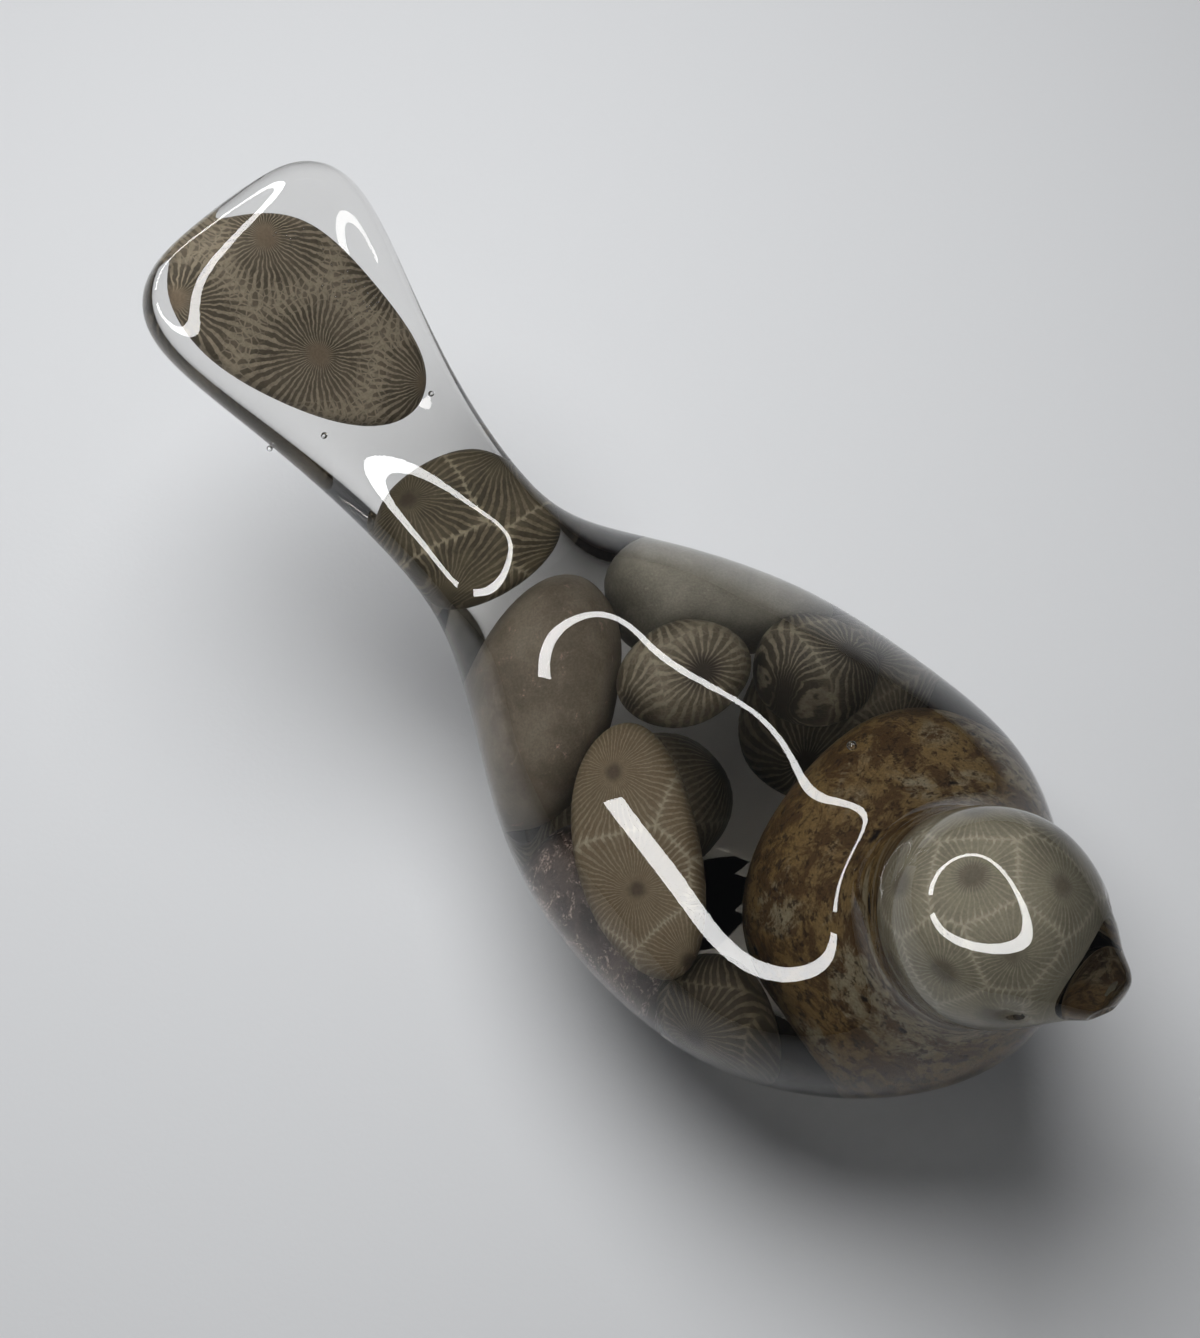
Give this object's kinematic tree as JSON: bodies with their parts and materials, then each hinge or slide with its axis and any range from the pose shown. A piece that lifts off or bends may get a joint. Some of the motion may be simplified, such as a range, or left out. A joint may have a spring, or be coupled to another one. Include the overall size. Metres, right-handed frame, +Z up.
{
  "type": "petoskey stone resin bird",
  "caption": "Clear resin bird with raised tail and round head, fossil coral petoskey stones cast inside it; stands on a small flat spot under its belly.",
  "frame": {"origin": "on the floor under the middle of the bounding box, at the height of the flat resting spot", "axes": "+X from the tail to the beak, +Y towards the bird's left side, +Z up"},
  "size_m": [0.1278, 0.0504, 0.0588],
  "materials": {
    "resin": "clear, polished",
    "tail_stone": "smooth, tumbled",
    "tail_root_stone": "smooth, tumbled",
    "rump_stone": "smooth, tumbled",
    "grey_back_stone": "smooth, tumbled",
    "fan_stone": "smooth, tumbled",
    "ring_stone": "smooth, tumbled",
    "long_slab_stone": "smooth, tumbled",
    "mottled_stone": "rough, pitted",
    "dark_breast_stone": "smooth, tumbled",
    "speckled_flank_stone": "smooth, tumbled",
    "head_stone": "smooth, tumbled",
    "belly_stone": "smooth, tumbled",
    "left_flank_stone": "smooth, tumbled"
  },
  "bodies": {
    "root": {"resin_left_half": "resin", "resin_right_half": "resin", "tail_stone": "tail_stone", "tail_root_stone": "tail_root_stone", "rump_stone": "rump_stone", "grey_back_stone": "grey_back_stone", "fan_stone": "fan_stone", "ring_stone": "ring_stone", "long_slab_stone": "long_slab_stone", "mottled_stone": "mottled_stone", "dark_breast_stone": "dark_breast_stone", "speckled_flank_stone": "speckled_flank_stone", "head_stone": "head_stone", "belly_stone": "belly_stone", "left_flank_stone": "left_flank_stone"}
  },
  "joints": []
}
